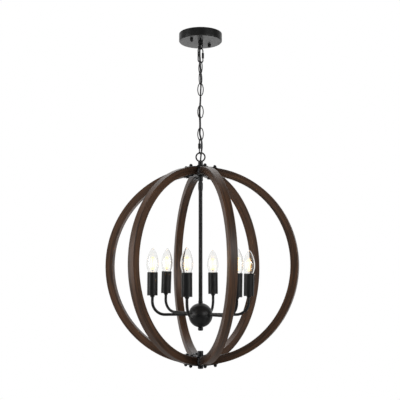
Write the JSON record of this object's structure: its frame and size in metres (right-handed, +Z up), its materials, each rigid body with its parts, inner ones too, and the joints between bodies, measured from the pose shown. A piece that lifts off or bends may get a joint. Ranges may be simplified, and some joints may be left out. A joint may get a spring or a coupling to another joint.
{
  "type": "orb chandelier",
  "caption": "Six-light orb chandelier: bent walnut arcs round a black stem with candle arms, hung by a chain from a round canopy.",
  "frame": {"origin": "middle of the ceiling plane, on the upper face of the fixing strap and level with the canopy's rim", "axes": "+Z up, +X to the right in the picture and along the fixing strap's slots, -Y towards the viewer"},
  "size_m": [0.5506, 0.5435, 0.9723],
  "materials": {
    "black_metal": "satin",
    "zinc_steel": "satin",
    "walnut": "satin",
    "cord_black": "matte",
    "socket_black": "matte",
    "bulb_base": "satin",
    "lamp_glass": "clear"
  },
  "bodies": {
    "canopy": {"box_strap": "zinc_steel", "canopy_strap": "zinc_steel", "threaded_nipple": "zinc_steel", "nipple_nuts": "zinc_steel", "canopy": "black_metal", "canopy_screws": "zinc_steel", "canopy_nuts": "black_metal", "canopy_loop": "black_metal", "lamp_cord": "cord_black"},
    "upper_quick_link": {"upper_quick_link": "black_metal"},
    "chain_link_1": {"chain_link_1": "black_metal"},
    "chain_link_2": {"chain_link_2": "black_metal"},
    "chain_link_3": {"chain_link_3": "black_metal"},
    "chain_link_4": {"chain_link_4": "black_metal"},
    "chain_link_5": {"chain_link_5": "black_metal"},
    "chain_link_6": {"chain_link_6": "black_metal"},
    "chain_link_7": {"chain_link_7": "black_metal"},
    "lower_quick_link": {"lower_quick_link": "black_metal"},
    "orb": {"ball_finial": "black_metal", "ball_lower": "black_metal", "ball_upper": "black_metal", "bottom_inner_spider": "black_metal", "bottom_outer_spider": "black_metal", "bottom_post": "black_metal", "candle_arm_1": "black_metal", "candle_arm_2": "black_metal", "candle_arm_3": "black_metal", "candle_arm_4": "black_metal", "candle_arm_5": "black_metal", "candle_arm_6": "black_metal", "candle_sleeves": "black_metal", "hub_bolts": "black_metal", "hub_cap_nuts": "black_metal", "hub_tube": "black_metal", "lamp_sockets": "socket_black", "loop_nut": "black_metal", "ring_loop": "black_metal", "rod_coupling": "black_metal", "sleeve_nuts": "black_metal", "stem_rod": "black_metal", "top_inner_spider": "black_metal", "top_outer_spider": "black_metal", "wood_arc_1": "walnut", "wood_arc_2": "walnut", "wood_arc_3": "walnut", "wood_arc_4": "walnut", "wood_arc_5": "walnut", "wood_arc_6": "walnut"},
    "bulb_1": {"bulb_base_1": "bulb_base", "bulb_glass_1": "lamp_glass"},
    "bulb_2": {"bulb_base_2": "bulb_base", "bulb_glass_2": "lamp_glass"},
    "bulb_3": {"bulb_base_3": "bulb_base", "bulb_glass_3": "lamp_glass"},
    "bulb_4": {"bulb_base_4": "bulb_base", "bulb_glass_4": "lamp_glass"},
    "bulb_5": {"bulb_base_5": "bulb_base", "bulb_glass_5": "lamp_glass"},
    "bulb_6": {"bulb_base_6": "bulb_base", "bulb_glass_6": "lamp_glass"}
  },
  "joints": [
    {"name": "swing_1", "type": "hinge", "parent": "canopy", "child": "upper_quick_link", "pos_m": [0, 0, -0.0459], "axis": [0.6428, -0.766, 0], "range_deg": [-8, 8], "deforming": ["lamp_cord"]},
    {"name": "swing_2", "type": "hinge", "parent": "upper_quick_link", "child": "chain_link_1", "pos_m": [0, 0, -0.08665], "axis": [0.8829, 0.4695, 0], "range_deg": [-8, 8]},
    {"name": "swing_3", "type": "hinge", "parent": "chain_link_1", "child": "chain_link_2", "pos_m": [0, 0, -0.1196], "axis": [0.6157, -0.788, 0], "range_deg": [-8, 8]},
    {"name": "swing_4", "type": "hinge", "parent": "chain_link_2", "child": "chain_link_3", "pos_m": [0, 0, -0.1529], "axis": [0.5299, 0.848, 0], "range_deg": [-8, 8]},
    {"name": "swing_5", "type": "hinge", "parent": "chain_link_3", "child": "chain_link_4", "pos_m": [0, 0, -0.1862], "axis": [1, 0, 0], "range_deg": [-8, 8]},
    {"name": "swing_6", "type": "hinge", "parent": "chain_link_4", "child": "chain_link_5", "pos_m": [0, 0, -0.2195], "axis": [0, 1, 0], "range_deg": [-8, 8]},
    {"name": "swing_7", "type": "hinge", "parent": "chain_link_5", "child": "chain_link_6", "pos_m": [0, 0, -0.2528], "axis": [1, 0, 0], "range_deg": [-8, 8]},
    {"name": "swing_8", "type": "hinge", "parent": "chain_link_6", "child": "chain_link_7", "pos_m": [0, 0, -0.2861], "axis": [0, 1, 0], "range_deg": [-8, 8]},
    {"name": "swing_9", "type": "hinge", "parent": "chain_link_7", "child": "lower_quick_link", "pos_m": [0, 0, -0.3194], "axis": [1, 0, 0], "range_deg": [-8, 8]},
    {"name": "swing_10", "type": "hinge", "parent": "lower_quick_link", "child": "orb", "pos_m": [0, 0, -0.36055], "axis": [0.4067, 0.9135, 0], "range_deg": [-8, 8]},
    {"name": "unscrew_1", "type": "slide", "parent": "orb", "child": "bulb_1", "axis": [0.0171, 0.0036, 0.9998], "range_m": [0, 0.04]},
    {"name": "unscrew_2", "type": "slide", "parent": "orb", "child": "bulb_2", "axis": [-0.0067, -0.0235, 0.9997], "range_m": [0, 0.04]},
    {"name": "unscrew_3", "type": "slide", "parent": "orb", "child": "bulb_3", "axis": [0.031, -0.0281, 0.9991], "range_m": [0, 0.04]},
    {"name": "unscrew_4", "type": "slide", "parent": "orb", "child": "bulb_4", "axis": [0, 0, 1], "range_m": [0, 0.04]},
    {"name": "unscrew_5", "type": "slide", "parent": "orb", "child": "bulb_5", "axis": [-0.0053, -0.0202, 0.9998], "range_m": [0, 0.04]},
    {"name": "unscrew_6", "type": "slide", "parent": "orb", "child": "bulb_6", "axis": [0.0193, -0.0202, 0.9996], "range_m": [0, 0.04]}
  ]
}
